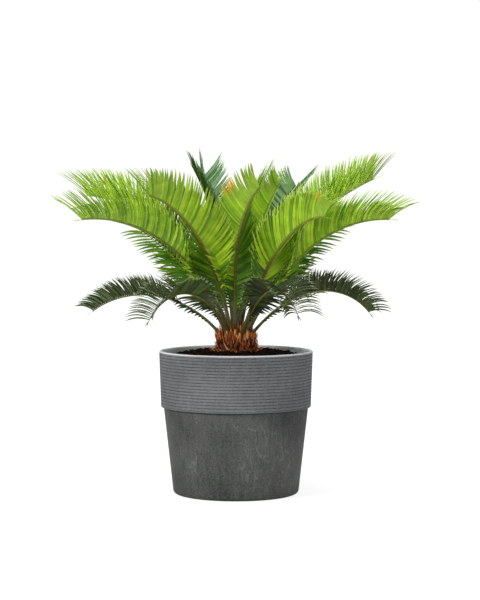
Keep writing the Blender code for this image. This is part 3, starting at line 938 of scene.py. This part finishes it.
def rib_axes(frond, share):
    """The rib's forward, left and upper directions at a share of its length."""
    lift = math.radians(frond.rise + (frond.tip - frond.rise) * share ** frond.bend)
    heading = math.radians(frond.heading + frond.sweep * share)
    forward = pointing(heading, lift)
    level = Vector((-math.sin(heading), math.cos(heading), 0.0))
    upper = forward.cross(level)
    roll = math.radians(frond.roll) * smooth(share / ROLL_SHARE)
    left = level * math.cos(roll) + upper * math.sin(roll)
    return forward, left, forward.cross(left)


def rib_line(frond):
    """The rib's points at equal shares of its length."""
    point = seat(frond)
    points = [point]
    for i in range(RIB_STEPS):
        forward = rib_axes(frond, (i + 0.5) / RIB_STEPS)[0]
        point = point + forward * (frond.length / RIB_STEPS)
        points.append(point)
    return points


def rib_point(line, share):
    """The rib's point at a share of its length."""
    place = min(share, 1.0) * RIB_STEPS
    index = min(int(place), RIB_STEPS - 1)
    return line[index].lerp(line[index + 1], place - index)


def rib_corners(frond, line, share):
    """Where the corners of the rib's section go at a share of its length."""
    widen = 0.5 * (YOUNG_RIB if frond in INNER_FRONDS else 1.0)
    forward, left, upper = rib_axes(frond, share)
    centre = rib_point(line, share)
    width = widen * between([(at, w) for at, w, h in RIB_SECTION], share)
    height = widen * between([(at, h) for at, w, h in RIB_SECTION], share)
    corners = []
    for i in range(RIB_SIDES):
        angle = math.tau * i / RIB_SIDES
        corners.append(centre + left * (width * math.cos(angle)) + upper * (height * math.sin(angle)))
    return corners


def make_rib(frond, line):
    """A round tapering rib, broad at the trunk, that knows how far along it each point is."""
    bm = bmesh.new()
    along = bm.verts.layers.float.new("along")
    bmesh.ops.create_circle(bm, cap_ends=True, segments=RIB_SIDES, radius=1.0)
    face = bm.faces[:][0]
    shares = [0.0, FIRST_RIB_RING] + [i / RIB_RINGS for i in range(2, RIB_RINGS + 1)]
    for share in shares:
        if share > 0.0:
            face = drawn_out(bm, face)
        for corner, place in zip(face.verts, rib_corners(frond, line, share)):
            corner.co = place
            corner[along] = share
        if share == 0.0:
            close_foot(bm, face)
    bmesh.ops.remove_doubles(bm, verts=bm.verts, dist=0.000001)
    bmesh.ops.recalc_face_normals(bm, faces=bm.faces)
    return mesh_of(bm, "rib_" + frond.name)


def leaflet_fill(share):
    """How far a place lies along the part of the rib that carries leaflets, from 0 to 1."""
    return max(0.0, (share - BARE_SHARE) / (1.0 - BARE_SHARE))


def leaflet_reach(frond):
    """A full leaflet's length as a share of its frond's."""
    if frond in LOW_FRONDS:
        return LOW_LEAFLET_REACH
    return YOUNG_LEAFLET_REACH if frond in INNER_FRONDS else LEAFLET_REACH


def leaflet_length(frond, share):
    """Short spines near the trunk, full length along the middle, shorter at the tip."""
    fill = leaflet_fill(share)
    reach = leaflet_reach(frond) * frond.length
    growth = SPINE + (1.0 - SPINE) * smooth(fill / FULL_LENGTH_FROM)
    return reach * growth * (1.0 - TIP_LOSS * smooth((fill - TIP_LOSS_FROM) / (1.0 - TIP_LOSS_FROM)))


def leaflet_angle(frond, fill):
    """A leaflet's angle from the rib in degrees, which closes towards the tip."""
    angle = LOW_ROOT_ANGLE if frond in LOW_FRONDS else ROOT_ANGLE
    angle -= MIDDLE_CLOSING * smooth(2.0 * fill) + TIP_CLOSING * fill ** TIP_CLOSING_POWER
    return max(LEAST_ANGLE, angle - PRESSED.get(frond.name, 0.0))


def leaflet_direction(frond, share, side, lean, swing):
    """A leaflet's direction: the two rows start low and are raised into a V."""
    fill = leaflet_fill(share)
    forward, left, upper = rib_axes(frond, share)
    angle = math.radians(leaflet_angle(frond, fill) + swing)
    raised = (FULL_KEEL - ROOT_KEEL) * smooth((fill - KEEL_FROM) / KEEL_RUN)
    keel = math.radians(ROOT_KEEL + raised + frond.fold + lean)
    across = left * (side * math.cos(keel)) + upper * math.sin(keel)
    return forward * math.cos(angle) + across * math.sin(angle)


def leaflet_shares(frond):
    """Shares of the rib's length that carry a pair of leaflets, wider apart near the trunk."""
    shares = []
    share = BARE_SHARE
    while share < LAST_PAIR:
        shares.append(share)
        fill = leaflet_fill(share)
        pitch = LEAFLET_PITCH * (SPINE_PITCH + (1.0 - SPINE_PITCH) * smooth(fill / SPINES_TO))
        end = 1.0 + (END_PITCH - 1.0) * smooth((fill - END_FROM) / END_RUN)
        pitch *= WISPY.get(frond.name, 1.0) * end
        share += pitch / frond.length
    return shares


def leaflet_bow(direction, forward_part, length, draw):
    """How a leaflet bows: it sags unless it stands, and its tip turns towards the frond's tip."""
    world_up = Vector((0.0, 0.0, 1.0))
    up_part = world_up - direction * world_up.dot(direction)
    sag = SAG * (1.0 - smooth(direction.z / STANDING))
    drop = up_part * (length * sag * draw.uniform(*SAG_SPREAD))
    return drop - forward_part * (length * FORWARD_BOW * draw.uniform(*FORWARD_SPREAD))


def leaflet_breadth(fill):
    """A leaflet's width: slimmer near the trunk and towards the frond's end."""
    width = LEAFLET_WIDTH * (SPINE_WIDTH + (1.0 - SPINE_WIDTH) * smooth(fill / FULL_WIDTH_FROM))
    return width * (1.0 - END_THINNING * smooth((fill - END_FROM) / THINNING_RUN))


def leaflet_blade(frond, line, share, side, draw):
    """One leaflet as a bent blade."""
    forward, left, upper = rib_axes(frond, share)
    lean, swing = draw.gauss(0.0, KEEL_SPREAD), draw.gauss(0.0, SWING_SPREAD)
    direction = leaflet_direction(frond, share, side, lean, swing)
    length = leaflet_length(frond, share) * draw.uniform(*LENGTH_SPREAD)
    forward_part = (forward - direction * forward.dot(direction)).normalized()
    bow = leaflet_bow(direction, forward_part, length, draw)
    face_up = side * forward.cross(direction).normalized()
    shingle = math.radians(SHINGLE + draw.gauss(0.0, SHINGLE_SPREAD))
    face_up = face_up * math.cos(shingle) + forward_part * math.sin(shingle)
    root = rib_point(line, share) + left * (side * ROOT_OUT) + upper * ROOT_UP
    width = leaflet_breadth(leaflet_fill(share)) * draw.uniform(*WIDTH_SPREAD)
    thick = max(LEAST_THICKNESS, LEAFLET_THICK_SHARE * length)
    return Blade(root, direction * length, bow, face_up, width, thick)


def tip_blades(frond, line):
    """The two slim blades at the very end of the rib."""
    forward, left, upper = rib_axes(frond, 1.0)
    blades = []
    for swing in (TIP_SWING, -TIP_SWING):
        direction = (forward + left * swing).normalized()
        chord = direction * TIP_LENGTH * frond.length
        blades.append(Blade(line[-1], chord, Vector(TIP_SAG), upper, TIP_WIDTH, TIP_THICKNESS))
    return blades


def leaflet_part(fill, shaded_row, draw):
    """A leaflet's colour: darkest near the trunk, where painted shade joins the darker green of older
    leaflets, and palest at the frond's end.
    """
    if draw.random() < INNER_CHANCE * (1.0 - smooth((fill - INNER_FROM) / INNER_RUN)):
        return INNER
    if draw.random() < FAR_CHANCE * smooth((fill - FAR_FROM) / FAR_RUN):
        return FAR
    if shaded_row:
        return draw.choice((INNER, INNER, SHADE, SHADE, BLADE))
    return draw.choice((SHADE, BLADE, BLADE, LIGHT))


def is_dry(frond, share, side):
    """Whether a leaflet belongs to a spray whose tips have turned orange."""
    spray = DRY_SPRAYS.get(frond.name)
    return spray is not None and side == spray[0] and spray[1] < share < spray[2]


def colours_along(middles, root, blade, end):
    """A leaflet's colours from root to end, one for each of its faces."""
    end_from = DRY_FROM if end == DRY else TIP_FROM
    return [root if x < ROOT_TO else end if x > end_from else blade for x in middles]


def make_leaflets(frond, line, master):
    """Both rows of leaflets, in the colours of the frond's tint."""
    draw = random.Random("leaflets " + frond.name)
    points, faces, middles = master
    blades = []
    picks = []
    for share in leaflet_shares(frond):
        for side in (1.0, -1.0):
            blades.append(leaflet_blade(frond, line, share, side, draw))
            part = leaflet_part(leaflet_fill(share), (frond.name, side) in SHADED_ROWS, draw)
            end = DRY if is_dry(frond, share, side) else TIP
            picks.append(colours_along(middles, ROOT, part, end))
    for blade in tip_blades(frond, line):
        blades.append(blade)
        picks.append(colours_along(middles, FAR, FAR, TIP))
    clusters = bent_blades(points, blades, leaflet_width, EDGE_FOLD)
    return joined("leaflets_" + frond.name, clusters, faces, picks)


def frond_nodes(frond):
    """The frond's own solids: one, or two where it is cut at its bend."""
    whole = "frond_" + frond.name
    return [whole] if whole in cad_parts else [whole + "_inner", whole + "_outer"]


def make_fronds():
    """Every frond's rib and leaflets, each in place of the frond's own solids."""
    master = blade_master(LEAFLET_STATIONS)
    leaves = {
        tint: [leaf_finish(f"leaf_{tint}_{part}", colour) for part, colour in zip(LEAF_PARTS, colours)]
        for tint, colours in LEAF_TINTS.items()
    }
    dry = leaf_finish("leaf_dry", DRY_TINT)
    ribs = {tint: rib_finish("rib_" + tint, *colours) for tint, colours in RIB_TINTS.items()}
    for frond in FRONDS:
        line = rib_line(frond)
        nodes = frond_nodes(frond)
        add_piece("rib_" + frond.name, make_rib(frond, line), [ribs[frond.rib]], nodes)
        mesh = make_leaflets(frond, line, master)
        add_piece("leaflets_" + frond.name, mesh, leaves[frond.tint] + [dry], nodes, 28.0)


def add_lamp(name, place, target, size, power, colour):
    """A soft round lamp that points at its target."""
    light = bpy.data.lights.new(name, "AREA")
    light.shape = "DISK"
    light.size = size
    light.energy = power
    light.color = colour
    lamp = bpy.data.objects.new(name, light)
    bpy.context.scene.collection.objects.link(lamp)
    lamp.location = place
    lamp.rotation_euler = (Vector(target) - Vector(place)).to_track_quat("-Z", "Y").to_euler()


def glow_floor(finish):
    """Lets the floor run out into the white backdrop a little way from the planter."""
    tree = finish.tree
    away = finish.distance().step(0.2, 0.7)
    seen = finish.node("ShaderNodeLightPath", output="Is Camera Ray")
    glow = tree.nodes.new("ShaderNodeEmission")
    glow.inputs["Strength"].default_value = FLOOR_GLOW
    blend = tree.nodes.new("ShaderNodeMixShader")
    finish.put(blend.inputs[0], seen * (FLOOR_GLOW_NEAR + (1.0 - FLOOR_GLOW_NEAR) * away))
    tree.links.new(finish.shader.outputs[0], blend.inputs[1])
    tree.links.new(glow.outputs[0], blend.inputs[2])
    tree.links.new(blend.outputs[0], tree.nodes["Material Output"].inputs[0])


def make_floor():
    """The wide white floor that the planter stands on."""
    finish = Finish("floor_white", 0.9, 0.1)
    soft = finish.noise(0.8, 2.0)
    finish.set(Base_Color=finish.mix(soft, *FLOOR_WHITES))
    glow_floor(finish)
    bm = bmesh.new()
    bmesh.ops.create_grid(bm, x_segments=2, y_segments=2, size=FLOOR_REACH)
    mesh = mesh_of(bm, "floor")
    mesh.materials.append(finish.material)
    floor = bpy.data.objects.new("floor", mesh)
    bpy.context.scene.collection.objects.link(floor)


def make_backdrop():
    """A soft sky for the light, and a plain white behind the plant."""
    world = bpy.data.worlds.new("studio")
    bpy.context.scene.world = world
    world.use_nodes = True
    tree = world.node_tree
    sky = tree.nodes["Background"]
    backdrop = tree.nodes.new("ShaderNodeBackground")
    for part, strength in ((sky, SKY_STRENGTH), (backdrop, BACKDROP_STRENGTH)):
        part.inputs["Color"].default_value = WHITE
        part.inputs["Strength"].default_value = strength
    path = tree.nodes.new("ShaderNodeLightPath")
    blend = tree.nodes.new("ShaderNodeMixShader")
    tree.links.new(path.outputs["Is Camera Ray"], blend.inputs[0])
    tree.links.new(sky.outputs[0], blend.inputs[1])
    tree.links.new(backdrop.outputs[0], blend.inputs[2])
    tree.links.new(blend.outputs[0], tree.nodes["World Output"].inputs[0])


def make_stage():
    """The floor, the backdrop and the lamps."""
    make_floor()
    make_backdrop()
    for lamp in LAMPS:
        add_lamp(*lamp)


def make_camera():
    """The camera in front of the planter, which looks slightly down."""
    data = bpy.data.cameras.new("camera")
    data.lens = CAMERA_LENS
    data.sensor_width = CAMERA_SENSOR
    camera = bpy.data.objects.new("camera", data)
    bpy.context.scene.collection.objects.link(camera)
    camera.location = CAMERA_PLACE
    camera.rotation_euler = (math.radians(90.0 - CAMERA_DIP), 0.0, 0.0)
    bpy.context.scene.camera = camera
    bpy.context.scene.view_settings.view_transform = "Standard"
    bpy.context.scene.view_settings.look = "None"


make_camera()
make_stage()
make_pot()
make_soil()
make_trunk()
make_scales()
make_fronds()
